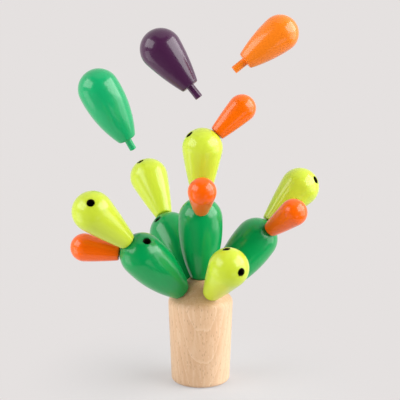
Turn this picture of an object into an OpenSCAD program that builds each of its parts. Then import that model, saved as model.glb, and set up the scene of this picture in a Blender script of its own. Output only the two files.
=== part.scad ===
// Cactus balance game: a beech trunk with plug-in painted pads and buds.
// Units are millimetres, +Z is up and the trunk stands on Z = 0.
// The front faces -Y.

/* [Trunk] */
// overall height
trunk_h = 75.5; // [60:0.5:100]
// diameter where the shoulder meets the side wall
trunk_d = 46; // [42:0.5:60]
// diameter at the foot
trunk_foot_d = 41.6; // [36:0.2:60]
// diameter of the flat crown
crown_d = 15; // [12:0.5:20]
// height of the sloping shoulder
shoulder_drop = 15.5; // [12:0.5:20]
// compass direction of the first shoulder hole
shoulder_turn = 208.5; // [180:0.5:240]
// rounding of the foot edge
trunk_foot_edge = 2.5; // [0.5:0.1:4]
// rounding between shoulder and side wall
shoulder_edge = 6; // [0.5:0.1:7]

/* [Pegs and holes] */
// peg diameter
peg_d = 5.2; // [4:0.1:6]
// length of peg that stands out of a pad
peg_reach = 9.3; // [6:0.1:10]
// length of peg glued into a pad
peg_root = 11; // [8:0.5:14]
// bevel at the end of a peg
peg_bevel = 0.6; // [0.2:0.1:1]
// play between a peg and its hole, on the radius
peg_play = 0.2; // [0.05:0.01:0.3]
// room left under the end of a seated peg
peg_end_gap = 0.4; // [0.2:0.1:1]
// depth of the funnel that leads a peg into its hole
hole_lead = 0.4; // [0.2:0.1:0.8]
// widening of that funnel for each millimetre of its depth
hole_flare = 0.5; // [0.2:0.1:1]
// glue line between a peg and its own pad
glue_gap = 0.03; // [0.01:0.01:0.1]
// gap between the foot of a pad and what it is plugged into
seat_gap = 0.15; // [0.05:0.05:0.4]

/* [Green pads] */
// length without the peg
green_l = 58.5; // [50:0.5:70]
// diameter of the round head
green_head_d = 31; // [28:0.2:34]
// diameter of the foot
green_foot_d = 14.4; // [11:0.2:17]
// radius of the bulging side
green_side_r = 88; // [70:1:300]
// angle of the side holes to the pad's axis
green_hole_tilt = 48; // [46:0.5:58]
// drop of the point where the side holes aim, below the head's centre
green_hole_drop = 2; // [1:0.1:3]

/* [Lime pads] */
// length without the peg
lime_l = 49; // [42:0.5:60]
// diameter of the round head
lime_head_d = 28.2; // [26:0.2:32]
// diameter of the foot
lime_foot_d = 12.8; // [10:0.2:15]
// radius of the bulging side
lime_side_r = 400; // [100:5:800]
// angle of the side holes to the pad's axis
lime_hole_tilt = 45; // [40:0.5:55]

/* [Orange buds] */
// length without the peg
orange_l = 34.8; // [28:0.2:42]
// diameter of the round head
orange_head_d = 19.6; // [16:0.2:24]
// diameter of the foot
orange_foot_d = 11.2; // [9:0.2:13]
// radius of the bulging side
orange_side_r = 280; // [80:5:600]

/* [Purple piece] */
// length without the peg
purple_l = 44.6; // [36:0.2:54]
// diameter of the round head
purple_head_d = 27.6; // [22:0.1:30]
// diameter of the foot
purple_foot_d = 12.5; // [10:0.1:15]
// radius of the bulging side
purple_side_r = 147; // [80:1:400]

/* [Tangerine piece] */
// length without the peg
tangerine_l = 41.1; // [34:0.1:50]
// diameter of the round head
tangerine_head_d = 24.4; // [20:0.1:28]
// diameter of the foot
tangerine_foot_d = 12; // [10:0.1:15]
// radius of the bulging side
tangerine_side_r = 100; // [70:1:400]

/* [Edges] */
// rounding of the foot edge of every pad and bud
pad_edge = 1.2; // [0.4:0.1:2]
// rounding of the trunk's crown
crown_edge = 1; // [0.2:0.1:2]

/* [Arrangement] */
// turn of the left green pad about its peg
green_left_turn = 131; // [0:1:359]
// turn of the back green pad about its peg
green_back_turn = 124; // [0:1:359]
// turn of the middle green pad about its peg
green_centre_turn = 92; // [0:1:359]
// turn of the right green pad about its peg
green_right_turn = 74; // [0:1:359]
// turn of the left lime pad on its green pad
lime_left_turn = 334; // [0:1:359]
// turn of the back lime pad on its green pad
lime_back_turn = 15; // [0:1:359]
// turn of the top lime pad on its green pad
lime_top_turn = 104; // [0:1:359]
// turn of the right lime pad on its green pad
lime_right_turn = 198; // [0:1:359]
// turn of the front lime pad in the trunk
lime_front_turn = 192; // [0:1:359]
// share of its peg's play that a lime pad takes up as it sags outwards on a green pad
sag_share = 0.8; // [0:0.05:0.9]
// distance of the loose green pad from the hole that it belongs to
green_loose_lift = 20; // [14:0.5:40]
// foot of the purple piece, to the right of the trunk's axis
purple_x = -6.6; // [-60:0.1:60]
// foot of the purple piece, behind the trunk's axis
purple_y = -48.8; // [-90:0.1:0]
// foot of the purple piece, above the table
purple_z = 218.5; // [200:0.1:260]
// lean of the purple piece from upright
purple_lean = 40; // [0:0.5:80]
// compass direction in which the purple piece leans
purple_turn = 164.4; // [90:0.1:270]
// foot of the tangerine piece, to the right of the trunk's axis
tangerine_x = 28.8; // [-60:0.1:90]
// foot of the tangerine piece, behind the trunk's axis
tangerine_y = -47.8; // [-90:0.1:0]
// foot of the tangerine piece, above the table
tangerine_z = 234.7; // [200:0.1:280]
// lean of the tangerine piece from upright
tangerine_lean = 52.5; // [0:0.5:80]
// compass direction in which the tangerine piece leans
tangerine_turn = 9.9; // [-90:0.1:90]

/* [Hidden] */
$fn = 96;
wood = [0.92, 0.77, 0.62];
green_paint = [0.14, 0.6, 0.34];
lime_paint = [0.84, 0.9, 0.28];
orange_paint = [0.97, 0.45, 0.1];
purple_paint = [0.32, 0.18, 0.32];
tangerine_paint = [0.98, 0.55, 0.22];

peg_r = peg_d / 2;
hole_r = peg_r + peg_play;
hole_deep = peg_reach + peg_end_gap;
crown_r = crown_d / 2;
trunk_r = trunk_d / 2;
// the shoulder holes lean outwards, square to the shoulder's slope
shoulder_lean = atan2(shoulder_drop, trunk_r - crown_r);
shoulder_holes = 4;
// lean of a sagging lime pad
sag = atan2(2 * sag_share * peg_play, peg_reach);
// distance of a green pad's side hole from the middle of its head
green_hole_off = green_hole_drop * sin(green_hole_tilt);

// a pad's shape: length, head radius, foot radius, side radius
GREEN = [green_l, green_head_d / 2, green_foot_d / 2, green_side_r];
LIME = [lime_l, lime_head_d / 2, lime_foot_d / 2, lime_side_r];
ORANGE = [orange_l, orange_head_d / 2, orange_foot_d / 2, orange_side_r];
PURPLE = [purple_l, purple_head_d / 2, purple_foot_d / 2, purple_side_r];
TANGERINE = [tangerine_l, tangerine_head_d / 2, tangerine_foot_d / 2, tangerine_side_r];

// steps in a drawn quarter turn, in a long side and in a small edge rounding
head_steps = 18;
side_steps = 8;
edge_steps = 4;

// points of an arc about c, from angle a to angle b
function arc(c, r, a, b, steps) =
    [for (i = [0 : steps]) c + r * [cos(a + (b - a) * i / steps), sin(a + (b - a) * i / steps)]];

// all points of a list but the first
function rest(points) = [for (i = [1 : len(points) - 1]) points[i]];

// the point at distance ra from a and rb from b, on the far side of the pad's axis
function two_arms(a, b, ra, rb) =
    let (l = norm(b - a), u = (b - a) / l, s = (ra * ra - rb * rb + l * l) / (2 * l))
    a + s * u + sqrt(ra * ra - s * s) * [u[1], -u[0]];

// half section of a turned pad: round head, bulging side and rounded foot, each running into the next
function pad_outline(shape) =
    let (
        l = shape[0],
        head_r = shape[1],
        foot_r = shape[2],
        side_r = shape[3],
        head = [0, l - head_r],
        edge = [foot_r - pad_edge, pad_edge],
        side = two_arms(head, edge, side_r - head_r, side_r - pad_edge),
        top = atan2(head[1] - side[1], head[0] - side[0]),
        low = atan2(edge[1] - side[1], edge[0] - side[0])
    )
    concat(
        [[0, 0], [0, l]],
        rest(arc(head, head_r, 90, top, head_steps)),
        rest(arc(side, side_r, top, low, side_steps)),
        rest(arc(edge, pad_edge, low, -90, edge_steps))
    );

// the rounding of radius r at corner b of the outline a, b, c, which turns clockwise
function rounded(a, b, c, r) =
    let (
        u = (a - b) / norm(a - b),
        v = (c - b) / norm(c - b),
        half = acos(u * v) / 2,
        m = (u + v) / norm(u + v),
        from = atan2(-u[0], u[1]),
        sweep = 180 - 2 * half
    )
    arc(b + m * r / sin(half), r, from, from - sweep, edge_steps);

// half section of the trunk, from the middle of the crown down to the foot
function trunk_outline() =
    let (
        middle = [0, trunk_h],
        crown = [crown_r, trunk_h],
        shoulder = [trunk_r, trunk_h - shoulder_drop],
        foot = [trunk_foot_d / 2, 0]
    )
    concat(
        [[0, 0], middle],
        rounded(middle, crown, shoulder, crown_edge),
        rounded(crown, shoulder, foot, shoulder_edge),
        rounded(shoulder, foot, [0, 0], trunk_foot_edge)
    );

// height of a head's crown once the hole of radius hole_r is drilled at distance off from its pole
function crown_height(head_r, off) = sqrt(head_r * head_r - pow(max(0, hole_r - off), 2));

// how far the head falls away from that crown around the hole
function rim_fall(head_r, off) = crown_height(head_r, off) - sqrt(head_r * head_r - pow(hole_r + off, 2));

// what plugs into the trunk's crown
module on_crown() {
    translate([0, 0, trunk_h + seat_gap])
    children();
}

// what plugs into hole i of the trunk's shoulder
module on_shoulder(i) {
    rotate([0, 0, shoulder_turn + i * 360 / shoulder_holes])
    translate([(crown_r + trunk_r) / 2, 0, trunk_h - shoulder_drop / 2])
    rotate([0, shoulder_lean, 0])
    translate([0, 0, seat_gap])
    children();
}

// what plugs into the top of a green pad
module on_green_tip() {
    translate([0, 0, green_l - GREEN[1] + crown_height(GREEN[1], 0) + seat_gap])
    children();
}

// a lime pad that sags away from the trunk about the middle of its peg and rests on the rim of its hole;
// pad_turn is the turn of the green pad that carries it
module sagging(pad_turn) {
    translate([0, 0, -peg_reach / 2])
    rotate([0, 0, -pad_turn])
    rotate([0, sag, 0])
    rotate([0, 0, pad_turn])
    translate([0, 0, peg_reach / 2 + hole_r * sin(sag)])
    children();
}

// what plugs into the side of a green pad: way is 0 or 180
module on_green_side(way) {
    rise = green_hole_drop * cos(green_hole_tilt);
    translate([0, 0, green_l - GREEN[1] - green_hole_drop])
    rotate([0, green_hole_tilt, way])
    translate([0, 0, rise + crown_height(GREEN[1], green_hole_off) + seat_gap])
    children();
}

// what plugs into the side of a lime pad: way is 0 or 180
module on_lime_side(way) {
    translate([0, 0, lime_l - LIME[1]])
    rotate([0, lime_hole_tilt, way])
    translate([0, 0, crown_height(LIME[1], 0) + seat_gap])
    children();
}

// a hole for a peg, seen from the foot of the pad that plugs into it; its rim falls away by fall
module peg_hole(fall = 0) {
    lead = seat_gap + fall + hole_lead;
    translate([0, 0, -hole_deep])
    cylinder(r = hole_r, h = hole_deep + seat_gap);
    translate([0, 0, -lead])
    cylinder(r1 = hole_r, r2 = hole_r + hole_flare * (lead + seat_gap), h = lead + seat_gap);
}

// a dowel peg with its visible end bevelled
module peg() {
    rotate_extrude()
    polygon([
        [0, -peg_reach],
        [peg_r - peg_bevel, -peg_reach],
        [peg_r, peg_bevel - peg_reach],
        [peg_r, peg_root],
        [0, peg_root]
    ]);
}

// a turned body with the socket that its peg is glued into
module turned_body(shape) {
    difference() {
        rotate_extrude()
        polygon(pad_outline(shape));
        translate([0, 0, -peg_root])
        cylinder(r = peg_r + glue_gap, h = 2 * peg_root + glue_gap);
    }
}

module green_pad() {
    difference() {
        turned_body(GREEN);
        on_green_tip() peg_hole();
        for (way = [0, 180]) on_green_side(way) peg_hole(rim_fall(GREEN[1], green_hole_off));
    }
}

module lime_pad() {
    difference() {
        turned_body(LIME);
        for (way = [0, 180]) on_lime_side(way) peg_hole();
    }
}

// where each piece stands, worked out from what it is plugged into
module at_green_left() on_shoulder(0) rotate([0, 0, green_left_turn]) children();
module at_lime_front() on_shoulder(1) rotate([0, 0, lime_front_turn]) children();
module at_green_right() on_shoulder(2) rotate([0, 0, green_right_turn]) children();
module at_green_back() on_shoulder(3) rotate([0, 0, green_back_turn]) children();
module at_green_centre() on_crown() rotate([0, 0, green_centre_turn]) children();
module at_lime_left() {
    at_green_left()
    on_green_tip()
    sagging(green_left_turn)
    rotate([0, 0, lime_left_turn])
    children();
}
module at_lime_back() at_green_back() on_green_tip() rotate([0, 0, lime_back_turn]) children();
module at_lime_top() {
    at_green_centre()
    on_green_tip()
    sagging(green_centre_turn)
    rotate([0, 0, lime_top_turn])
    children();
}
module at_lime_right() {
    at_green_right()
    on_green_tip()
    sagging(green_right_turn)
    rotate([0, 0, lime_right_turn])
    children();
}
module at_orange_left() at_green_left() on_green_side(180) children();
module at_orange_centre() at_green_centre() on_green_side(180) children();
module at_orange_right() at_green_right() on_green_side(180) children();
module at_orange_top() at_lime_top() on_lime_side(180) children();
module at_green_loose() at_lime_back() on_lime_side(0) translate([0, 0, green_loose_lift]) children();
module at_purple_loose() {
    translate([purple_x, purple_y, purple_z])
    rotate([0, purple_lean, purple_turn])
    children();
}
module at_tangerine_loose() {
    translate([tangerine_x, tangerine_y, tangerine_z])
    rotate([0, tangerine_lean, tangerine_turn])
    children();
}

module trunk() {
    color(wood)
    difference() {
        rotate_extrude()
        polygon(trunk_outline());
        on_crown() peg_hole();
        for (i = [0 : shoulder_holes - 1]) on_shoulder(i) peg_hole();
    }
}

module green_left() color(green_paint) at_green_left() green_pad();
module green_left_peg() color(green_paint) at_green_left() peg();
module green_back() color(green_paint) at_green_back() green_pad();
module green_back_peg() color(green_paint) at_green_back() peg();
module green_centre() color(green_paint) at_green_centre() green_pad();
module green_centre_peg() color(green_paint) at_green_centre() peg();
module green_right() color(green_paint) at_green_right() green_pad();
module green_right_peg() color(green_paint) at_green_right() peg();
module green_loose() color(green_paint) at_green_loose() turned_body(GREEN);
module green_loose_peg() color(green_paint) at_green_loose() peg();

module lime_left() color(lime_paint) at_lime_left() lime_pad();
module lime_left_peg() color(lime_paint) at_lime_left() peg();
module lime_back() color(lime_paint) at_lime_back() lime_pad();
module lime_back_peg() color(lime_paint) at_lime_back() peg();
module lime_top() color(lime_paint) at_lime_top() lime_pad();
module lime_top_peg() color(lime_paint) at_lime_top() peg();
module lime_right() color(lime_paint) at_lime_right() lime_pad();
module lime_right_peg() color(lime_paint) at_lime_right() peg();
module lime_front() color(lime_paint) at_lime_front() lime_pad();
module lime_front_peg() color(lime_paint) at_lime_front() peg();

module orange_left() color(orange_paint) at_orange_left() turned_body(ORANGE);
module orange_left_peg() color(orange_paint) at_orange_left() peg();
module orange_centre() color(orange_paint) at_orange_centre() turned_body(ORANGE);
module orange_centre_peg() color(orange_paint) at_orange_centre() peg();
module orange_top() color(orange_paint) at_orange_top() turned_body(ORANGE);
module orange_top_peg() color(orange_paint) at_orange_top() peg();
module orange_right() color(orange_paint) at_orange_right() turned_body(ORANGE);
module orange_right_peg() color(orange_paint) at_orange_right() peg();

module purple_loose() color(purple_paint) at_purple_loose() turned_body(PURPLE);
module purple_loose_peg() color(purple_paint) at_purple_loose() peg();
module tangerine_loose() color(tangerine_paint) at_tangerine_loose() turned_body(TANGERINE);
module tangerine_loose_peg() color(tangerine_paint) at_tangerine_loose() peg();

trunk();
green_left();
green_left_peg();
green_back();
green_back_peg();
green_centre();
green_centre_peg();
green_right();
green_right_peg();
green_loose();
green_loose_peg();
lime_left();
lime_left_peg();
lime_back();
lime_back_peg();
lime_top();
lime_top_peg();
lime_right();
lime_right_peg();
lime_front();
lime_front_peg();
orange_left();
orange_left_peg();
orange_centre();
orange_centre_peg();
orange_top();
orange_top_peg();
orange_right();
orange_right_peg();
purple_loose();
purple_loose_peg();
tangerine_loose();
tangerine_loose_peg();
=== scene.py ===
import math

import bpy
from mathutils import Matrix, Vector


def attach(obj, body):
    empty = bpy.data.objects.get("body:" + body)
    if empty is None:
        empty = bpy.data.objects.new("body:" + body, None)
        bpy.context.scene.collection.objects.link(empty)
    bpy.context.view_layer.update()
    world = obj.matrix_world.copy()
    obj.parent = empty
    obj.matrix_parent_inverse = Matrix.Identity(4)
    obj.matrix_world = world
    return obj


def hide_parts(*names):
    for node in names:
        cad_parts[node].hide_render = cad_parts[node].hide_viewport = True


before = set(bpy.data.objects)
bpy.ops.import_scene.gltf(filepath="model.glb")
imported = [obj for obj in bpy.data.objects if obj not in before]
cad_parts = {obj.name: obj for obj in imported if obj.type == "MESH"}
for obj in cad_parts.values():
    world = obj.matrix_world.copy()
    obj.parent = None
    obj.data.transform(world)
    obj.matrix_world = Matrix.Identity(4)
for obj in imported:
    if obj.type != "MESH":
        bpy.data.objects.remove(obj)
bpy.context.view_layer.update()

MM = 0.001

# sizes in millimetres, as in the solids
TRUNK_H = 75.5
TRUNK_D = 46.0
TRUNK_FOOT_D = 41.6
CROWN_D = 15.0
SHOULDER_DROP = 15.5
SHOULDER_TURN = 208.5
TRUNK_FOOT_EDGE = 2.5
SHOULDER_EDGE = 6.0
CROWN_EDGE = 1.0
SHOULDER_HOLES = 4

PEG_R = 2.6
PEG_REACH = 9.3
PEG_ROOT = 11.0
PEG_BEVEL = 0.6
PEG_PLAY = 0.2
PEG_END_GAP = 0.4
HOLE_LEAD = 0.4
HOLE_FLARE = 0.5
GLUE_GAP = 0.03
SEAT_GAP = 0.15
PAD_EDGE = 1.2

# length, head diameter, foot diameter, radius of the bulging side
PAD_SHAPES = {
    "green": (58.5, 31.0, 14.4, 88.0),
    "lime": (49.0, 28.2, 12.8, 400.0),
    "orange": (34.8, 19.6, 11.2, 280.0),
    "purple": (44.6, 27.6, 12.5, 147.0),
    "tangerine": (41.1, 24.4, 12.0, 100.0),
}
GREEN_HOLE_TILT = 48.0
GREEN_HOLE_DROP = 2.0
LIME_HOLE_TILT = 45.0

# share of its peg's play that a lime pad takes up as it sags outwards on a green pad
SAG_SHARE = 0.8

# how far the loose green pad is lifted off its hole, and where the two other loose pieces hang:
# the middle of the foot, the way it leans and how far
GREEN_LOOSE_LIFT = 20.0
LOOSE_SPOTS = {
    "purple_loose": ((-6.6, -48.8, 218.5), 164.4, 40.0),
    "tangerine_loose": ((28.8, -47.8, 234.7), 9.9, 52.5),
}

HOLE_R = PEG_R + PEG_PLAY
HOLE_DEEP = PEG_REACH + PEG_END_GAP
SAG = math.degrees(math.atan2(2 * SAG_SHARE * PEG_PLAY, PEG_REACH))

# rounding of a peg's end, in shares of its bevel: in from the side, and up from the end
PEG_END = ((1.0, 0.0), (0.4, 0.18), (0.12, 0.5), (0.0, 1.0))

# flare of a hole's mouth, in shares of the whole flare: outwards, and upwards
HOLE_MOUTH = ((0.0, 0.0), (0.22, 0.42), (0.55, 0.72), (1.0, 1.0))

# steps round a turned piece, round a drilled hole and round the dark cloth
ROUND_STEPS = 96
HOLE_STEPS = 48
CLOTH_STEPS = 32

# steps along an outline: a pad's foot edge, side and head; the trunk's foot edge, wall,
# shoulder edge, slope and crown edge
PAD_STEPS = (7, 26, 40)
TRUNK_STEPS = (10, 24, 10, 8, 6)

# faces that meet at less than this angle are shaded smooth, in degrees
SMOOTH_ANGLE = 34

# how far from an edge paint gathers, how deep a hole's mouth counts as an edge,
# and the distance that stands for no edge, in millimetres
EDGE_REACH = 0.9
MOUTH_DEPTH = 2.0
NO_EDGE = 1000.0

# how far the grain is moved from one piece to the next, in metres
GRAIN_SHIFT = (0.31, -0.17, 0.07)


# outlines of the turned pieces, as (radius, height) from the axis round to the axis
def arc(centre, radius, start, end, steps):
    """Points of an arc, angles in radians."""
    points = []
    for i in range(steps + 1):
        angle = start + (end - start) * i / steps
        points.append((centre[0] + radius * math.cos(angle), centre[1] + radius * math.sin(angle)))
    return points


def between(low, high, steps):
    """The points that divide the way from low to high, without its two ends."""
    low, high = Vector(low), Vector(high)
    return [tuple(low.lerp(high, i / steps)) for i in range(1, steps)]


def pad_outline(shape):
    """Socket, flat foot, rounded foot edge, bulging side and round head of a pad."""
    length, head_d, foot_d, side_r = shape
    edge_steps, side_steps, head_steps = PAD_STEPS
    head_r, foot_r = head_d / 2, foot_d / 2
    head = Vector((0, length - head_r))
    edge = Vector((foot_r - PAD_EDGE, PAD_EDGE))
    reach = (edge - head).length
    along = (edge - head) / reach
    to_head, to_edge = side_r - head_r, side_r - PAD_EDGE
    foot_point = (to_head ** 2 - to_edge ** 2 + reach ** 2) / (2 * reach)
    across = math.sqrt(to_head ** 2 - foot_point ** 2)
    side = head + foot_point * along + across * Vector((along.y, -along.x))
    top = math.atan2(head.y - side.y, head.x - side.x)
    low = math.atan2(edge.y - side.y, edge.x - side.x)
    socket_r, socket_h = PEG_R + GLUE_GAP, PEG_ROOT + GLUE_GAP
    return (
        [(0, socket_h), (socket_r, socket_h), (socket_r, 0)]
        + arc(edge, PAD_EDGE, -math.pi / 2, low, edge_steps)
        + arc(side, side_r, low, top, side_steps)[1:]
        + arc(head, head_r, top, math.pi / 2, head_steps)[1:]
    )


def rounded_corner(a, b, c, radius, steps):
    """The rounding at corner b of the outline a, b, c, which turns anticlockwise."""
    a, b, c = Vector(a), Vector(b), Vector(c)
    u, v = (a - b).normalized(), (c - b).normalized()
    half = math.acos(u.dot(v)) / 2
    centre = b + (u + v).normalized() * radius / math.sin(half)
    start = math.atan2(-u.x, u.y) + math.pi
    return arc(centre, radius, start, start + math.pi - 2 * half, steps)


def trunk_outline():
    """Foot, leaning side wall, sloping shoulder and flat crown of the trunk."""
    foot_steps, wall_steps, shoulder_steps, slope_steps, crown_steps = TRUNK_STEPS
    foot_in, foot = (0, 0), (TRUNK_FOOT_D / 2, 0)
    shoulder = (TRUNK_D / 2, TRUNK_H - SHOULDER_DROP)
    crown, crown_in = (CROWN_D / 2, TRUNK_H), (0, TRUNK_H)
    wall_low = rounded_corner(foot_in, foot, shoulder, TRUNK_FOOT_EDGE, foot_steps)
    wall_high = rounded_corner(foot, shoulder, crown, SHOULDER_EDGE, shoulder_steps)
    slope_top = rounded_corner(shoulder, crown, crown_in, CROWN_EDGE, crown_steps)
    wall = between(wall_low[-1], wall_high[0], wall_steps)
    slope = between(wall_high[-1], slope_top[0], slope_steps)
    return [foot_in] + wall_low + wall + wall_high + slope + slope_top + [crown_in]


def peg_outline():
    """A dowel peg: rounded end, plain side and the root that is glued into a pad."""
    end = [(PEG_R - PEG_BEVEL * inward, -PEG_REACH + PEG_BEVEL * upward) for inward, upward in PEG_END]
    return [(0, -PEG_REACH)] + end + [(PEG_R, PEG_ROOT), (0, PEG_ROOT)]


def drill_outline(fall):
    """The shape that a drill takes out, flared at the mouth, where the rim falls away by fall."""
    lead = SEAT_GAP + fall + HOLE_LEAD
    rise = lead + SEAT_GAP
    flare = HOLE_FLARE * rise
    top = SEAT_GAP * 2
    mouth = [(HOLE_R + flare * outward, -lead + rise * upward) for outward, upward in HOLE_MOUTH]
    return [(0, -HOLE_DEEP), (HOLE_R, -HOLE_DEEP)] + mouth + [(HOLE_R + flare, top), (0, top)]


# places, as matrices in metres
def move(x, y, z):
    """A move by millimetres."""
    return Matrix.Translation((x * MM, y * MM, z * MM))


def turn(degrees, axis="Z"):
    return Matrix.Rotation(math.radians(degrees), 4, axis)


def crown_height(head_r, off):
    """Height of a hole's highest rim point above the middle of a head, off beside its axis."""
    return math.sqrt(head_r ** 2 - max(0, HOLE_R - off) ** 2)


def rim_fall(head_r, off):
    """How far the rim falls from its highest to its lowest point."""
    return crown_height(head_r, off) - math.sqrt(head_r ** 2 - (HOLE_R + off) ** 2)


GREEN_L, GREEN_HEAD_R = PAD_SHAPES["green"][0], PAD_SHAPES["green"][1] / 2
LIME_L, LIME_HEAD_R = PAD_SHAPES["lime"][0], PAD_SHAPES["lime"][1] / 2
GREEN_HOLE_OFF = GREEN_HOLE_DROP * math.sin(math.radians(GREEN_HOLE_TILT))
GREEN_HOLE_RISE = GREEN_HOLE_DROP * math.cos(math.radians(GREEN_HOLE_TILT))


def on_crown():
    return move(0, 0, TRUNK_H + SEAT_GAP)


def on_shoulder(i):
    lean = math.degrees(math.atan2(SHOULDER_DROP, (TRUNK_D - CROWN_D) / 2))
    return (
        turn(SHOULDER_TURN + i * 360 / SHOULDER_HOLES)
        @ move((CROWN_D + TRUNK_D) / 4, 0, TRUNK_H - SHOULDER_DROP / 2)
        @ turn(lean, "Y")
        @ move(0, 0, SEAT_GAP)
    )


def on_green_tip():
    return move(0, 0, GREEN_L - GREEN_HEAD_R + crown_height(GREEN_HEAD_R, 0) + SEAT_GAP)


def sagging(pad_turn):
    """The sag of a lime pad away from the trunk, on a green pad that is turned by pad_turn."""
    lift = HOLE_R * math.sin(math.radians(SAG))
    return (
        move(0, 0, -PEG_REACH / 2)
        @ turn(-pad_turn)
        @ turn(SAG, "Y")
        @ turn(pad_turn)
        @ move(0, 0, PEG_REACH / 2 + lift)
    )


def on_green_side(way):
    return (
        move(0, 0, GREEN_L - GREEN_HEAD_R - GREEN_HOLE_DROP)
        @ turn(way)
        @ turn(GREEN_HOLE_TILT, "Y")
        @ move(0, 0, GREEN_HOLE_RISE + crown_height(GREEN_HEAD_R, GREEN_HOLE_OFF) + SEAT_GAP)
    )


def on_lime_side(way):
    return (
        move(0, 0, LIME_L - LIME_HEAD_R)
        @ turn(way)
        @ turn(LIME_HOLE_TILT, "Y")
        @ move(0, 0, crown_height(LIME_HEAD_R, 0) + SEAT_GAP)
    )


# turn of each green pad about its peg, and of each lime pad on what carries it
GREEN_TURNS = {"left": 131, "back": 124, "centre": 92, "right": 74}
LIME_TURNS = {"left": 334, "back": 15, "top": 104, "right": 198, "front": 192}

PLACES = {
    "green_left": on_shoulder(0) @ turn(GREEN_TURNS["left"]),
    "green_back": on_shoulder(3) @ turn(GREEN_TURNS["back"]),
    "green_centre": on_crown() @ turn(GREEN_TURNS["centre"]),
    "green_right": on_shoulder(2) @ turn(GREEN_TURNS["right"]),
    "lime_front": on_shoulder(1) @ turn(LIME_TURNS["front"]),
}
for lime, green in (("left", "left"), ("top", "centre"), ("right", "right")):
    seat = PLACES["green_" + green] @ on_green_tip() @ sagging(GREEN_TURNS[green])
    PLACES["lime_" + lime] = seat @ turn(LIME_TURNS[lime])
PLACES["lime_back"] = PLACES["green_back"] @ on_green_tip() @ turn(LIME_TURNS["back"])
for side in ("left", "centre", "right"):
    PLACES["orange_" + side] = PLACES["green_" + side] @ on_green_side(180)
PLACES["orange_top"] = PLACES["lime_top"] @ on_lime_side(180)
PLACES["green_loose"] = PLACES["lime_back"] @ on_lime_side(0) @ move(0, 0, GREEN_LOOSE_LIFT)
for piece, (spot, way, lean) in LOOSE_SPOTS.items():
    PLACES[piece] = move(*spot) @ turn(way) @ turn(lean, "Y")

# pieces with no holes of their own
PLAIN_PIECES = ("green_loose", "purple_loose", "tangerine_loose")

# place of each hole, and how far its rim falls away
GREEN_HOLES = [
    (on_green_tip(), 0.0),
    (on_green_side(0), rim_fall(GREEN_HEAD_R, GREEN_HOLE_OFF)),
    (on_green_side(180), rim_fall(GREEN_HEAD_R, GREEN_HOLE_OFF)),
]
LIME_HOLES = [(on_lime_side(0), 0.0), (on_lime_side(180), 0.0)]
TRUNK_HOLES = [(on_crown(), 0.0)] + [(on_shoulder(i), 0.0) for i in range(SHOULDER_HOLES)]


# modelling
def deselect_all():
    if bpy.context.object and bpy.context.object.mode != "OBJECT":
        bpy.ops.object.mode_set(mode="OBJECT")
    bpy.ops.object.select_all(action="DESELECT")


def pick(obj):
    """Makes obj the one selected and active object."""
    deselect_all()
    obj.select_set(True)
    bpy.context.view_layer.objects.active = obj


def draw_outline(name, outline):
    """Draws the outline point by point with extrude, and leaves it selected in edit mode."""
    deselect_all()
    bpy.ops.mesh.primitive_plane_add(size=MM, location=(0, 0, 0))
    obj = bpy.context.active_object
    obj.name = obj.data.name = name
    bpy.ops.object.mode_set(mode="EDIT")
    bpy.ops.mesh.select_all(action="SELECT")
    bpy.ops.mesh.merge(type="CENTER")
    bpy.ops.transform.translate(value=(outline[0][0] * MM, 0, outline[0][1] * MM))
    for (r0, z0), (r1, z1) in zip(outline, outline[1:]):
        bpy.ops.mesh.extrude_region_move(
            TRANSFORM_OT_translate={"value": ((r1 - r0) * MM, 0, (z1 - z0) * MM)}
        )
    bpy.ops.mesh.select_all(action="SELECT")
    return obj


def turn_on_lathe(name, outline, steps):
    """Spins the outline all the way about its axis and closes the seam."""
    obj = draw_outline(name, outline)
    bpy.ops.mesh.spin(steps=steps, angle=2 * math.pi, center=(0, 0, 0), axis=(0, 0, 1))
    bpy.ops.mesh.select_all(action="SELECT")
    bpy.ops.mesh.remove_doubles(threshold=MM / 1000)
    bpy.ops.mesh.normals_make_consistent(inside=False)
    bpy.ops.object.mode_set(mode="OBJECT")
    return obj


def paint_drill(bit, rim_material, bore_shade_material):
    """The bit leaves the bore's painted shade on the wall and floor it cuts, and the rim finish on the
    mouth.
    """
    bit.data.materials.append(rim_material)
    bit.data.materials.append(bore_shade_material)
    pick(bit)
    bpy.ops.object.mode_set(mode="EDIT")
    bpy.ops.mesh.select_all(action="DESELECT")
    bpy.ops.object.mode_set(mode="OBJECT")
    on_wall = [v.co.z for v in bit.data.vertices if abs(v.co.to_2d().length - HOLE_R * MM) < MM / 100]
    wall_top = max(on_wall)
    for face in bit.data.polygons:
        face.select = face.center.z < wall_top
    bpy.ops.object.mode_set(mode="EDIT")
    bit.active_material_index = 1
    bpy.ops.object.material_slot_assign()
    bpy.ops.object.mode_set(mode="OBJECT")


def drill(obj, holes, rim_material, bore_shade_material):
    """Cuts each hole with a turned bit, by a Boolean modifier that is then applied."""
    for place, fall in holes:
        bit = turn_on_lathe("drill_bit", drill_outline(fall), HOLE_STEPS)
        paint_drill(bit, rim_material, bore_shade_material)
        bit.matrix_world = place
        pick(obj)
        cut = obj.modifiers.new("hole", "BOOLEAN")
        cut.operation = "DIFFERENCE"
        cut.solver = "EXACT"
        cut.material_mode = "TRANSFER"
        cut.object = bit
        bpy.context.view_layer.update()
        bpy.ops.object.modifier_apply(modifier=cut.name)
        bpy.data.objects.remove(bit)


def smooth(obj):
    pick(obj)
    bpy.ops.object.shade_smooth_by_angle(angle=math.radians(SMOOTH_ANGLE))


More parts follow.
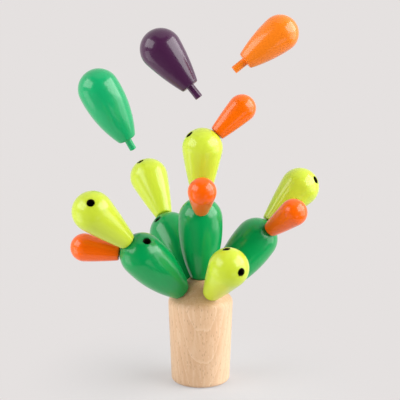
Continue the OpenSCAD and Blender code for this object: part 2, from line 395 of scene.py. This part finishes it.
def mark_surface(obj, holes, foot_r):
    """Marks each point with its own coordinates, its nearness to an edge, and how far it faces upwards,
    for end grain and painted shade.
    """
    mesh = obj.data
    grain = mesh.attributes.new("grain", "FLOAT_VECTOR", "POINT")
    edge = mesh.attributes.new("edge", "FLOAT", "POINT")
    end = mesh.attributes.new("end_grain_and_shade", "FLOAT", "POINT")
    into = [place.inverted() for place, _ in holes]
    for v in mesh.vertices:
        grain.data[v.index].vector = v.co
        gap = math.hypot(v.co.to_2d().length - foot_r, v.co.z) if foot_r else NO_EDGE * MM
        for m in into:
            q = m @ v.co
            if q.z > -MOUTH_DEPTH * MM:
                gap = min(gap, abs(q.to_2d().length - HOLE_R * MM))
        edge.data[v.index].value = math.exp(-(gap / (EDGE_REACH * MM)) ** 2)
        # how far a point faces upwards: darkens the beech's shoulder and crown, partly as end grain and
        # partly as painted shade under the pads
        end.data[v.index].value = max(0, v.normal.z)


def place_copy(model, name, place, shift):
    """A copy of a modelled piece with its own mesh, moved to its place; shift moves its grain."""
    pick(model)
    bpy.ops.object.duplicate()
    obj = bpy.context.active_object
    obj.name = obj.data.name = name
    for item in obj.data.attributes["grain"].data:
        item.vector = Vector(item.vector) + shift
    obj.matrix_world = place
    bpy.ops.object.transform_apply(location=True, rotation=True, scale=True)
    return obj


# node helpers
def node(tree, kind, x, y, **values):
    """A node with its settings; keys that name an input set that input's value."""
    n = tree.nodes.new(kind)
    n.location = (x, y)
    for key, value in values.items():
        if key in n.inputs:
            n.inputs[key].default_value = value
        else:
            setattr(n, key, value)
    return n


def link(tree, a, b):
    tree.links.new(a, b)


def rgb(r, g, b):
    """Linear colour of a display colour, from 0 to 255."""
    def linear(c):
        c /= 255
        return c / 12.92 if c <= 0.04045 else ((c + 0.055) / 1.055) ** 2.4
    return (linear(r), linear(g), linear(b), 1)


def new_group(name, inputs, outputs):
    group = bpy.data.node_groups.new(name, "ShaderNodeTree")
    for title, kind, value in inputs:
        made = group.interface.new_socket(name=title, in_out="INPUT", socket_type=kind)
        if value is not None:
            made.default_value = value
    for title, kind in outputs:
        group.interface.new_socket(name=title, in_out="OUTPUT", socket_type=kind)
    return group, node(group, "NodeGroupInput", -900, 0), node(group, "NodeGroupOutput", 700, 0)


def use_group(tree, group, x, y, **values):
    n = node(tree, "ShaderNodeGroup", x, y)
    n.node_tree = group
    for key, value in values.items():
        n.inputs[key].default_value = value
    return n


def bare_material(name):
    """A material with nothing but its output."""
    material = bpy.data.materials.new(name)
    material.use_nodes = True
    tree = material.node_tree
    tree.nodes.clear()
    return material, tree, node(tree, "ShaderNodeOutputMaterial", 900, 0)


def new_material(name):
    """A material with a Principled shader on its output."""
    material, tree, out = bare_material(name)
    shader = node(tree, "ShaderNodeBsdfPrincipled", 600, 0)
    link(tree, shader.outputs[0], out.inputs[0])
    return material, tree, shader


def maths(tree, operation, x, y, a=None, b=None, clamp=False):
    """A Math node; a and b are sockets or numbers."""
    n = node(tree, "ShaderNodeMath", x, y, operation=operation, use_clamp=clamp)
    for i, value in enumerate((a, b)):
        if isinstance(value, (int, float)):
            n.inputs[i].default_value = value
        elif value is not None:
            link(tree, value, n.inputs[i])
    return n.outputs[0]


def spread(tree, value, x, y, low, high, to_low, to_high, smooth_step=False):
    """A Map Range node from low..high to to_low..to_high."""
    n = node(tree, "ShaderNodeMapRange", x, y)
    n.interpolation_type = "SMOOTHSTEP" if smooth_step else "LINEAR"
    for i, number in enumerate((low, high, to_low, to_high)):
        n.inputs[i + 1].default_value = number
    link(tree, value, n.inputs[0])
    return n.outputs[0]


def mix_colour(tree, x, y, factor, a, b):
    n = node(tree, "ShaderNodeMix", x, y, data_type="RGBA", blend_type="MIX")
    for socket, value in ((n.inputs[0], factor), (n.inputs[6], a), (n.inputs[7], b)):
        if isinstance(value, (int, float, tuple)):
            socket.default_value = value
        else:
            link(tree, value, socket)
    return n.outputs[2]


def stretched(tree, vector, x, y, stretch):
    """Coordinates multiplied by the three numbers of stretch."""
    n = node(tree, "ShaderNodeVectorMath", x, y, operation="MULTIPLY")
    link(tree, vector, n.inputs[0])
    n.inputs[1].default_value = stretch
    return n.outputs[0]


def stretched_noise(tree, vector, x, y, stretch, scale, detail):
    """Noise on stretched coordinates."""
    n = node(tree, "ShaderNodeTexNoise", x + 180, y, Scale=scale, Detail=detail)
    link(tree, stretched(tree, vector, x, y, stretch), n.inputs["Vector"])
    return n.outputs["Fac"]


def add_bump(tree, shader, height, x, y, strength, distance):
    bump = node(tree, "ShaderNodeBump", x, y, Strength=strength, Distance=distance)
    link(tree, height, bump.inputs["Height"])
    link(tree, bump.outputs[0], shader.inputs["Normal"])


# the part of its range that a noise mostly keeps to
NOISE_SPAN = (0.3, 0.7)

# noises of the lacquer and of its edges: stretch, scale and detail
GRAIN_LINES = ((1, 1, 0.09), 420, 2)
PEEL = ((1, 1, 0.6), 200, 1)
TONE_DRIFT = ((1, 1, 0.45), 55, 2)
GLOSS_SMEAR = ((1, 1, 0.5), 140, 4)
EDGE_PATCHES = ((1, 1, 1), 480, 2)
EDGE_PATCH_SPREAD = (0.3, 0.65, 0.45, 1)


# shared effects
def make_lacquer_flow():
    """Lacquer over turned wood: faint grain lines, orange peel, slow drifts of tone and gloss."""
    group, put_in, put_out = new_group(
        "lacquer_flow",
        [
            ("Vector", "NodeSocketVector", None),
            ("Grain Lines", "NodeSocketFloat", 1.0),
            ("Peel", "NodeSocketFloat", 1.0),
        ],
        [("Height", "NodeSocketFloat"), ("Tone", "NodeSocketFloat"), ("Gloss", "NodeSocketFloat")],
    )
    vector = put_in.outputs["Vector"]
    lines = stretched_noise(group, vector, -700, 300, *GRAIN_LINES)
    peel = stretched_noise(group, vector, -700, 60, *PEEL)
    drift = stretched_noise(group, vector, -700, -180, *TONE_DRIFT)
    smear = stretched_noise(group, vector, -700, -420, *GLOSS_SMEAR)
    lines_height = maths(group, "MULTIPLY", -200, 300, lines, put_in.outputs["Grain Lines"])
    peel_height = maths(group, "MULTIPLY", -200, 60, peel, put_in.outputs["Peel"])
    height = maths(group, "ADD", 0, 200, lines_height, peel_height)
    tone = spread(group, drift, 0, -180, *NOISE_SPAN, 0, 1, True)
    gloss = spread(group, smear, 0, -420, *NOISE_SPAN, 0, 1)
    link(group, height, put_out.inputs["Height"])
    link(group, tone, put_out.inputs["Tone"])
    link(group, gloss, put_out.inputs["Gloss"])
    return group


def make_edge_tone():
    """Paint gathered along an edge: the edge colour comes in patchily where the edge mark is."""
    group, put_in, put_out = new_group(
        "edge_tone",
        [
            ("Color", "NodeSocketColor", None),
            ("Edge Color", "NodeSocketColor", None),
            ("Edge", "NodeSocketFloat", 0.0),
            ("Vector", "NodeSocketVector", None),
            ("Amount", "NodeSocketFloat", 0.5),
        ],
        [("Color", "NodeSocketColor")],
    )
    patchy = stretched_noise(group, put_in.outputs["Vector"], -700, -200, *EDGE_PATCHES)
    patchy = spread(group, patchy, -300, -200, *EDGE_PATCH_SPREAD)
    mask = maths(group, "MULTIPLY", -100, 0, put_in.outputs["Edge"], patchy)
    mask = maths(group, "MULTIPLY", 100, 0, mask, put_in.outputs["Amount"], True)
    colour = mix_colour(group, 300, 0, mask, put_in.outputs["Color"], put_in.outputs["Edge Color"])
    link(group, colour, put_out.inputs["Color"])
    return group


LACQUER_FLOW = make_lacquer_flow()
EDGE_TONE = make_edge_tone()

# tones of the lacquers: deep, light, and where it gathers
LACQUER_TONES = {
    "green": (rgb(0, 146, 73), rgb(0, 158, 82), rgb(0, 100, 46)),
    "lime": (rgb(199, 217, 55), rgb(207, 226, 64), rgb(166, 184, 28)),
    "orange": (rgb(248, 97, 0), rgb(253, 111, 0), rgb(206, 66, 0)),
    "purple": (rgb(64, 27, 60), rgb(73, 34, 69), rgb(40, 12, 38)),
    "tangerine": (rgb(250, 124, 18), rgb(253, 132, 27), rgb(224, 92, 4)),
    "loose_green": (rgb(12, 163, 99), rgb(22, 172, 107), rgb(2, 118, 62)),
}
LACQUER_ROUGH = (0.276, 0.31)
LACQUER_SPECULAR = 0.25
COAT_WEIGHT = 0.5
COAT_ROUGH = 0.13
LACQUER_FLOW_AMOUNTS = {"Grain Lines": 0.9, "Peel": 0.8}
EDGE_AMOUNT = 0.6
LACQUER_BUMP = (0.5, 0.00004)

# inside a drilled hole: near-black painted shade over fuzzy end grain
BORE_PAINTED_SHADE = rgb(22, 18, 10)
BORE_PAINTED_SHADE_WARM = rgb(62, 46, 26)
BORE_FUZZ = ((1, 1, 1), 1400, 3)
BORE_ROUGH = (0.6, 0.9)

# tones of the beech
BEECH_PALE = rgb(233, 197, 160)
BEECH_WARM = rgb(224, 183, 144)
BEECH_LATE = rgb(209, 162, 120)
BEECH_LIGHT = rgb(245, 219, 187)
# tone of upward faces: end grain, darkened further by painted shade from the pads above
BEECH_END_AND_SHADE = rgb(180, 130, 84)
BEECH_RAY = rgb(166, 116, 78)
BEECH_PORE = rgb(186, 136, 96)

# the blank was cut well off the tree's middle and a little across the grain
BLANK_PLACE = (0.004, -0.092, 0)
BLANK_TILT = (math.radians(6), math.radians(1.5), 0)

# growth rings in a metre, how far they wander in metres, and how their late wood
# and their pale line come in over a ring
RINGS_IN_A_METRE = 300
RING_WANDER = 0.0028
LATE_WOOD = (0.35, 1.0, 0, 0.3)
PALE_LINE = (0.0, 0.14, 0.3, 0)

# noises of the beech: stretch, scale and detail
RING_NOISE = ((1, 1, 0.35), 60, 3)
STREAKS = ((1, 1, 0.035), 520, 4)
WARM_DRIFT = ((1, 1, 0.25), 30, 2)
WARM_SPAN = (0.32, 0.68)
STREAK_SPREAD = (0.45, 0.75, 0, 0.4)
END_GRAIN_AND_SHADE_SHARE = 0.45

# flecks of the beech: stretch, scale, size in its cell, share of cells; strength and tone
BEECH_FLECKS = {
    "rays": (((1, 1, 0.2), 1000, 0.3, 0.6), 0.55, BEECH_RAY),
    "pores": (((1, 1, 0.35), 1900, 0.27, 0.6), 0.4, BEECH_PORE),
    "pale": (((1, 1, 0.22), 1100, 0.26, 0.5), 0.5, BEECH_LIGHT),
}
BEECH_ROUGH = (0.4, 0.52)
PORE_DEPTH = 0.6
STREAK_DEPTH = 0.5
BEECH_BUMP = (0.4, 0.00003)


# finishes
def make_lacquer(name, deep, light, gathered):
    """Toy lacquer between two tones, darker where it gathers along edges, under a clear coat."""
    material, tree, shader = new_material(name)
    shader.inputs["Specular IOR Level"].default_value = LACQUER_SPECULAR
    shader.inputs["Coat Weight"].default_value = COAT_WEIGHT
    shader.inputs["Coat Roughness"].default_value = COAT_ROUGH
    grain = node(tree, "ShaderNodeAttribute", -900, 0, attribute_name="grain")
    edge = node(tree, "ShaderNodeAttribute", -900, -250, attribute_name="edge")
    flow = use_group(tree, LACQUER_FLOW, -600, 0, **LACQUER_FLOW_AMOUNTS)
    link(tree, grain.outputs["Vector"], flow.inputs["Vector"])
    colour = mix_colour(tree, -350, 200, flow.outputs["Tone"], deep, light)
    tone = use_group(tree, EDGE_TONE, -100, 200, **{"Edge Color": gathered, "Amount": EDGE_AMOUNT})
    link(tree, colour, tone.inputs["Color"])
    link(tree, edge.outputs["Fac"], tone.inputs["Edge"])
    link(tree, grain.outputs["Vector"], tone.inputs["Vector"])
    link(tree, tone.outputs["Color"], shader.inputs["Base Color"])
    gloss = spread(tree, flow.outputs["Gloss"], -100, -50, 0, 1, *LACQUER_ROUGH)
    link(tree, gloss, shader.inputs["Roughness"])
    add_bump(tree, shader, flow.outputs["Height"], 200, -250, *LACQUER_BUMP)
    return material


def make_bore(name):
    """The inside of a drilled hole: fuzzy end grain, painted near-black as the hole's shade."""
    material, tree, shader = new_material(name)
    grain = node(tree, "ShaderNodeAttribute", -700, 0, attribute_name="grain")
    fuzz = stretched_noise(tree, grain.outputs["Vector"], -500, 0, *BORE_FUZZ)
    link(tree, mix_colour(tree, 100, 100, fuzz, BORE_PAINTED_SHADE, BORE_PAINTED_SHADE_WARM), shader.inputs["Base Color"])
    rough = spread(tree, fuzz, 100, -100, *NOISE_SPAN, *BORE_ROUGH)
    link(tree, rough, shader.inputs["Roughness"])
    return material


def grain_flecks(tree, grain, x, y, stretch, scale, size, share):
    """Short marks along the grain: one in each cell, with some cells empty."""
    cells = node(tree, "ShaderNodeTexVoronoi", x + 180, y, Scale=scale)
    link(tree, stretched(tree, grain, x, y, stretch), cells.inputs["Vector"])
    near = spread(tree, cells.outputs["Distance"], x + 380, y, size * 0.5, size, 1, 0, True)
    parts = node(tree, "ShaderNodeSeparateColor", x + 380, y - 160)
    link(tree, cells.outputs["Color"], parts.inputs[0])
    kept = spread(tree, parts.outputs[0], x + 560, y - 160, share * 0.6, share, 1, 0)
    return maths(tree, "MULTIPLY", x + 740, y, near, kept)


def ring_position(tree, grain):
    """How far along its growth ring a point is, from 0 to 1, out from the tree's middle."""
    split = node(tree, "ShaderNodeSeparateXYZ", -1500, 200)
    link(tree, grain, split.inputs[0])
    across = maths(tree, "MULTIPLY", -1300, 260, split.outputs["X"], split.outputs["X"])
    deep = maths(tree, "MULTIPLY", -1300, 120, split.outputs["Y"], split.outputs["Y"])
    radius = maths(tree, "SQRT", -1000, 200, maths(tree, "ADD", -1150, 200, across, deep))
    wander = stretched_noise(tree, grain, -1500, -100, *RING_NOISE)
    wander = maths(tree, "MULTIPLY", -1000, 0, wander, RING_WANDER)
    radius = maths(tree, "ADD", -850, 200, radius, wander)
    rings = maths(tree, "MULTIPLY", -700, 200, radius, RINGS_IN_A_METRE)
    return maths(tree, "FRACT", -550, 200, rings)


def make_beech(name):
    """Sanded, waxed beech: soft growth bands with pale lines, ray flecks, pale flecks and pores, darker
    on upward faces as end grain and painted shade.
    """
    material, tree, shader = new_material(name)
    where = node(tree, "ShaderNodeTexCoord", -1900, 0)
    end = node(tree, "ShaderNodeAttribute", -1900, 400, attribute_name="end_grain_and_shade")
    blank = node(tree, "ShaderNodeMapping", -1700, 0, Location=BLANK_PLACE, Rotation=BLANK_TILT)
    link(tree, where.outputs["Object"], blank.inputs["Vector"])
    grain = blank.outputs["Vector"]
    ring = ring_position(tree, grain)
    late = spread(tree, ring, -400, 200, *LATE_WOOD, True)
    line = spread(tree, ring, -400, 0, *PALE_LINE, True)
    streak = stretched_noise(tree, grain, -1500, -350, *STREAKS)
    drift = stretched_noise(tree, grain, -1500, -600, *WARM_DRIFT)
    drift = spread(tree, drift, -400, -600, *WARM_SPAN, 0, 1, True)
    lit_streak = spread(tree, streak, -150, -350, *STREAK_SPREAD)
    # upward faces take the darker tone, partly real end grain and partly painted shade from the pads
    # above
    end_and_shade = maths(tree, "MULTIPLY", 100, 450, end.outputs["Fac"], END_GRAIN_AND_SHADE_SHARE)
    colour = mix_colour(tree, -150, 300, drift, BEECH_PALE, BEECH_WARM)
    colour = mix_colour(tree, 0, 300, late, colour, BEECH_LATE)
    colour = mix_colour(tree, 150, 300, line, colour, BEECH_LIGHT)
    colour = mix_colour(tree, 300, 300, lit_streak, colour, BEECH_LIGHT)
    colour = mix_colour(tree, 450, 300, end_and_shade, colour, BEECH_END_AND_SHADE)
    flecks = {}
    for i, (title, (form, strength, tone)) in enumerate(BEECH_FLECKS.items()):
        y = -900 - 300 * i
        flecks[title] = grain_flecks(tree, grain, -1500, y, *form)
        shown = maths(tree, "MULTIPLY", 100, y, flecks[title], strength)
        colour = mix_colour(tree, 600, y, shown, colour, tone)
    link(tree, colour, shader.inputs["Base Color"])
    rough = spread(tree, streak, 300, -100, *NOISE_SPAN, *BEECH_ROUGH)
    link(tree, rough, shader.inputs["Roughness"])
    pore_hollow = maths(tree, "MULTIPLY", 100, -700, flecks["pores"], PORE_DEPTH)
    hollow = maths(tree, "ADD", 200, -700, flecks["rays"], pore_hollow)
    raised = maths(tree, "MULTIPLY", 200, -500, streak, STREAK_DEPTH)
    height = maths(tree, "SUBTRACT", 300, -500, raised, hollow)
    add_bump(tree, shader, height, 450, -400, *BEECH_BUMP)
    return material


BEECH = make_beech("beech")
BORE = make_bore("drilled_hole_painted_shade")
LACQUERS = {
    finish: make_lacquer(finish + "_lacquer", *tones) for finish, tones in LACQUER_TONES.items()
}

# the pieces
masters = {}


def master(kind, drilled, finish):
    """The modelled body and dowel of one kind in one finish, made once."""
    key = (kind, drilled, finish)
    if key not in masters:
        shape = PAD_SHAPES[kind]
        body = turn_on_lathe("turned_" + kind, pad_outline(shape), ROUND_STEPS)
        body.data.materials.append(LACQUERS[finish])
        holes = {"green": GREEN_HOLES, "lime": LIME_HOLES}.get(kind, []) if drilled else []
        drill(body, holes, LACQUERS[finish], BORE)
        smooth(body)
        mark_surface(body, holes, shape[2] / 2 * MM)
        dowel = turn_on_lathe("dowel_" + kind, peg_outline(), HOLE_STEPS)
        dowel.data.materials.append(LACQUERS[finish])
        smooth(dowel)
        mark_surface(dowel, [], 0)
        masters[key] = body, dowel
    return masters[key]


for count, (piece, place) in enumerate(PLACES.items()):
    kind = piece.split("_")[0]
    finish = "loose_green" if piece == "green_loose" else kind
    body, dowel = master(kind, piece not in PLAIN_PIECES, finish)
    shift = Vector([step * count for step in GRAIN_SHIFT])
    for source, title, cad_node in ((body, "_body", piece), (dowel, "_dowel", piece + "_peg")):
        made = place_copy(source, piece + title, place, shift)
        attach(made, piece)
        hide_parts(cad_node)

trunk = turn_on_lathe("trunk_turned", trunk_outline(), ROUND_STEPS)
trunk.data.materials.append(BEECH)
drill(trunk, TRUNK_HOLES, BEECH, BORE)
smooth(trunk)
mark_surface(trunk, TRUNK_HOLES, 0)
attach(trunk, "trunk")
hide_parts("trunk")

for pair in masters.values():
    for obj in pair:
        bpy.data.objects.remove(obj)

# stage, in metres
BACKDROP = rgb(229, 225, 224)
FLOOR_PALE = (0.62, 0.615, 0.63, 1)
FLOOR_R = 0.32
FLOOR_PLACE = (0, 0.2, -0.0003)

# the plain backdrop colour comes in over the floor between these distances from the toy's middle
FADE = (0.02, 0.14, 0.5, 1)


def seen_rays(tree, x, y):
    """1 for the rays that show a background: those of the camera, of gloss and of clear things."""
    path = node(tree, "ShaderNodeLightPath", x, y).outputs
    seen = maths(tree, "MAXIMUM", x + 200, y, path["Is Camera Ray"], path["Is Glossy Ray"])
    return maths(tree, "MAXIMUM", x + 350, y, seen, path["Is Transmission Ray"])


def mix_shaders(tree, factor, first, second, out):
    """Puts a mix of the two shaders on the output."""
    mix = node(tree, "ShaderNodeMixShader", 300, 0)
    link(tree, factor, mix.inputs[0])
    link(tree, first.outputs[0], mix.inputs[1])
    link(tree, second.outputs[0], mix.inputs[2])
    link(tree, mix.outputs[0], out.inputs[0])


def make_floor_finish():
    """Plain pale floor: lit and shadowed near the toy, the plain backdrop colour further out."""
    material, tree, out = bare_material("pale_floor")
    lit = node(tree, "ShaderNodeBsdfDiffuse", 0, 100, Color=FLOOR_PALE)
    plain = node(tree, "ShaderNodeEmission", 0, -100, Color=BACKDROP)
    where = node(tree, "ShaderNodeTexCoord", -900, 0)
    far = node(tree, "ShaderNodeVectorMath", -700, 0, operation="LENGTH")
    link(tree, where.outputs["Object"], far.inputs[0])
    fade = spread(tree, far.outputs["Value"], -500, 0, *FADE, True)
    shown = maths(tree, "MULTIPLY", -200, -100, fade, seen_rays(tree, -700, -300))
    mix_shaders(tree, shown, lit, plain, out)
    return material


deselect_all()
bpy.ops.mesh.primitive_circle_add(
    vertices=ROUND_STEPS, radius=FLOOR_R, fill_type="NGON", location=FLOOR_PLACE
)
bpy.ops.object.transform_apply(location=True)
floor = bpy.context.active_object
floor.name = "floor"
floor.data.materials.append(make_floor_finish())

# a dark cloth hangs round the front of the studio, outside the lamps and out of the picture; it is seen
# only in reflections, where it paints dark reflections on the lacquer so that its deep tones stay clear;
# its sizes are in millimetres
CLOTH_R = 1900
CLOTH_LOW = -1600
CLOTH_H = 6500
FELT_DARK = (0.03, 0.03, 0.03, 1)
cloth = draw_outline("dark_reflection_cloth", [(CLOTH_R, CLOTH_LOW), (CLOTH_R, CLOTH_LOW + CLOTH_H)])
bpy.ops.mesh.spin(steps=CLOTH_STEPS, angle=math.pi, center=(0, 0, 0), axis=(0, 0, 1))
bpy.ops.object.mode_set(mode="OBJECT")
felt, _, felt_shader = new_material("dark_reflection_felt")
felt_shader.inputs["Base Color"].default_value = FELT_DARK
felt_shader.inputs["Roughness"].default_value = 1
felt_shader.inputs["Specular IOR Level"].default_value = 0
cloth.data.materials.append(felt)
# the cloth casts no shadow and gives no diffuse light: only its painted dark reflection shows
cloth.visible_camera = False
cloth.visible_diffuse = False
cloth.visible_shadow = False

# world: a little even light on the toy, and the backdrop colour where it is seen
AMBIENT = 0.08
world = bpy.data.worlds.new("studio")
bpy.context.scene.world = world
world.use_nodes = True
sky = world.node_tree
sky.nodes.clear()
sky_out = node(sky, "ShaderNodeOutputWorld", 600, 0)
ambient = node(sky, "ShaderNodeBackground", 0, 100, Color=(1, 1, 1, 1), Strength=AMBIENT)
backdrop = node(sky, "ShaderNodeBackground", 0, -100, Color=BACKDROP, Strength=1)
mix_shaders(sky, seen_rays(sky, -500, 0), ambient, backdrop, sky_out)

# lamps: name, direction from the middle of the toy, distance, width, height and power
LAMP_AIM = (0, 0, 0.14)
# two softboxes stand beside the table, with dimmer panels low down beside and in front of it
SOFTBOXES = (
    ("softbox_right", (0.82, -0.16, 0.56), 1.0, 1.2, 0.7, 13.8),
    ("softbox_right_low", (0.95, -0.1, 0.0), 1.0, 0.8, 0.6, 3.2),
    ("softbox_left", (-0.82, -0.28, 0.5), 1.1, 1.0, 0.65, 8.0),
    ("softbox_left_low", (-0.9, -0.2, -0.35), 1.1, 0.6, 0.8, 3.0),
    ("softbox_front_low", (0.46, -0.79, -0.41), 1.3, 0.5, 0.4, 0.7),
)
# broad fills that leave no highlight of their own
FILLS = (
    ("fill_left", (-0.9, -0.35, 0.0), 1.4, 1.2, 1.2, 3.9),
    ("fill_right", (0.9, -0.35, 0.1), 1.4, 1.2, 1.2, 5.6),
    ("fill_front", (-0.58, -0.75, -0.4), 1.3, 1.2, 0.8, 7.2),
    ("fill_back", (0, 0.9, 0.5), 1.5, 1.2, 1.2, 7),
    ("fill_top", (0, 0.1, 1), 1.4, 1.2, 1.2, 2.2),
)


def hang_lamp(name, direction, distance, width, height, power):
    """A rectangular lamp that looks at the middle of the toy."""
    data = bpy.data.lights.new(name, "AREA")
    data.shape = "RECTANGLE"
    data.size, data.size_y = width, height
    data.energy = power
    lamp = bpy.data.objects.new(name, data)
    bpy.context.scene.collection.objects.link(lamp)
    aim = Vector(LAMP_AIM)
    lamp.location = aim + Vector(direction).normalized() * distance
    lamp.rotation_euler = (aim - lamp.location).to_track_quat("-Z", "Y").to_euler()
    return lamp


for values in SOFTBOXES:
    hang_lamp(*values)
for values in FILLS:
    hang_lamp(*values).visible_glossy = False

# camera
CAMERA_PLACE = (-0.00035, -0.88367, 0.33086)
CAMERA_PITCH = 12.68
CAMERA_LENS = 116.46
CAMERA_SENSOR = 36
CAMERA_FAR = 100
camera_data = bpy.data.cameras.new("camera")
camera_data.lens = CAMERA_LENS
camera_data.sensor_width = CAMERA_SENSOR
camera_data.clip_end = CAMERA_FAR
camera = bpy.data.objects.new("camera", camera_data)
bpy.context.scene.collection.objects.link(camera)
camera.location = CAMERA_PLACE
camera.rotation_euler = (math.radians(90 - CAMERA_PITCH), 0, 0)
bpy.context.scene.camera = camera

bpy.context.scene.view_settings.view_transform = "Standard"
